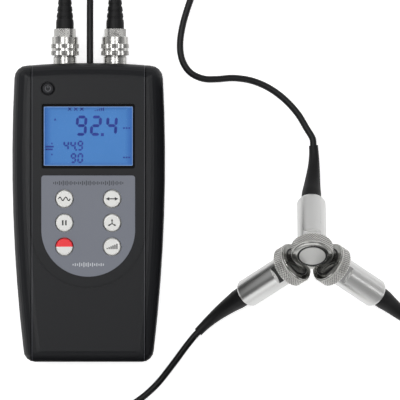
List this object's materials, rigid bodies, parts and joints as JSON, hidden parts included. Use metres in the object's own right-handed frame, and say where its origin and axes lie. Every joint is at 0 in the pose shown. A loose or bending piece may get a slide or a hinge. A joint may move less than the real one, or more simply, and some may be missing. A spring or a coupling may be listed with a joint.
{
  "type": "handheld vibration meter",
  "caption": "Handheld vibration meter with a blue display and a keypad, on leads to a triaxial head of steel accelerometers with magnetic bases.",
  "frame": {"origin": "centre of the meter's flat back face, on the table that it lies on", "axes": "+X to the right of the display, +Y towards the socket end, +Z out of the display"},
  "size_m": [0.2572, 0.3082, 0.0472],
  "materials": {
    "shell": "fine-grained moulded ABS, near black",
    "label": "satin printed film",
    "cap_white": "satin moulded",
    "cap_red": "satin moulded",
    "window": "clear polished",
    "lcd": "blue, lit from behind",
    "backlight": "diffusing",
    "silicone": "moulded silicone",
    "board": "solder mask",
    "board_part": "moulded",
    "cell": "printed sleeve",
    "spring_steel": "plated",
    "nickel": "nickel plate, satin",
    "insulator": "moulded",
    "gold": "gold plate",
    "screw": "blackened",
    "case_steel": "turned and satin finished",
    "pole_steel": "ground",
    "seal": "potting compound",
    "magnet": "sintered",
    "ceramic": "silvered ceramic",
    "boot_rubber": "moulded, matt",
    "jacket": "extruded, low sheen",
    "tie": "nylon band"
  },
  "bodies": {
    "meter": {"front_shell": "shell", "rear_shell": "shell", "lcd_window": "window", "lcd_glass": "lcd", "lcd_backlight": "backlight", "face_label": "label", "key_mat": "silicone", "main_board": "board", "board_parts": "board_part", "battery_cells": "cell", "battery_contacts": "spring_steel", "socket_left": "nickel", "socket_right": "nickel", "socket_insulators": "insulator", "socket_nuts": "nickel", "lead_grommet": "boot_rubber", "case_screws": "screw", "board_screws": "screw", "plug_body_left": "nickel", "plug_body_right": "nickel", "plug_boot_left": "boot_rubber", "plug_boot_right": "boot_rubber", "plug_pins": "gold", "top_case": "case_steel", "left_case": "case_steel", "right_case": "case_steel", "top_base": "nickel", "left_base": "nickel", "right_base": "nickel", "top_pole": "pole_steel", "left_pole": "pole_steel", "right_pole": "pole_steel", "top_boot": "boot_rubber", "left_boot": "boot_rubber", "right_boot": "boot_rubber", "seal_rings": "seal", "magnet_discs": "magnet", "base_studs": "spring_steel", "piezo_rings": "ceramic", "seismic_masses": "spring_steel", "left_plug_lead": "jacket", "left_coil": "jacket", "left_sensor_lead": "jacket", "top_plug_lead": "jacket", "top_coil": "jacket", "top_sensor_lead": "jacket", "right_meter_lead": "jacket", "right_coil": "jacket", "right_sensor_lead": "jacket", "lead_ties": "tie"},
    "door": {"battery_door": "shell"},
    "power_button": {"power_key": "shell"},
    "button_1": {"key_1": "cap_white"},
    "button_2": {"key_2": "cap_white"},
    "button_3": {"key_3": "cap_white"},
    "button_4": {"key_4": "cap_white"},
    "button_5": {"key_5": "cap_red"},
    "button_6": {"key_6": "cap_white"},
    "nut_left": {"plug_nut_left": "nickel"},
    "nut_right": {"plug_nut_right": "nickel"}
  },
  "joints": [
    {"name": "door_slide", "type": "slide", "parent": "meter", "child": "door", "axis": [0, -1, 0], "range_m": [0, 0.008]},
    {"name": "power_button_press", "type": "slide", "parent": "meter", "child": "power_button", "axis": [0, 0, -1], "range_m": [0, 0.0006], "stiffness_N_per_m": 300},
    {"name": "button_1_press", "type": "slide", "parent": "meter", "child": "button_1", "axis": [0, 0, -1], "range_m": [0, 0.0006], "stiffness_N_per_m": 300},
    {"name": "button_2_press", "type": "slide", "parent": "meter", "child": "button_2", "axis": [0, 0, -1], "range_m": [0, 0.0006], "stiffness_N_per_m": 300},
    {"name": "button_3_press", "type": "slide", "parent": "meter", "child": "button_3", "axis": [0, 0, -1], "range_m": [0, 0.0006], "stiffness_N_per_m": 300},
    {"name": "button_4_press", "type": "slide", "parent": "meter", "child": "button_4", "axis": [0, 0, -1], "range_m": [0, 0.0006], "stiffness_N_per_m": 300},
    {"name": "button_5_press", "type": "slide", "parent": "meter", "child": "button_5", "axis": [0, 0, -1], "range_m": [0, 0.0006], "stiffness_N_per_m": 300},
    {"name": "button_6_press", "type": "slide", "parent": "meter", "child": "button_6", "axis": [0, 0, -1], "range_m": [0, 0.0006], "stiffness_N_per_m": 300},
    {"name": "nut_left_turn", "type": "hinge", "parent": "meter", "child": "nut_left", "pos_m": [-0.0125, 0.0851, 0.018], "axis": [0, 1, 0], "range_deg": [0, 90]},
    {"name": "nut_right_turn", "type": "hinge", "parent": "meter", "child": "nut_right", "pos_m": [0.0135, 0.0851, 0.018], "axis": [0, 1, 0], "range_deg": [0, 90]}
  ]
}
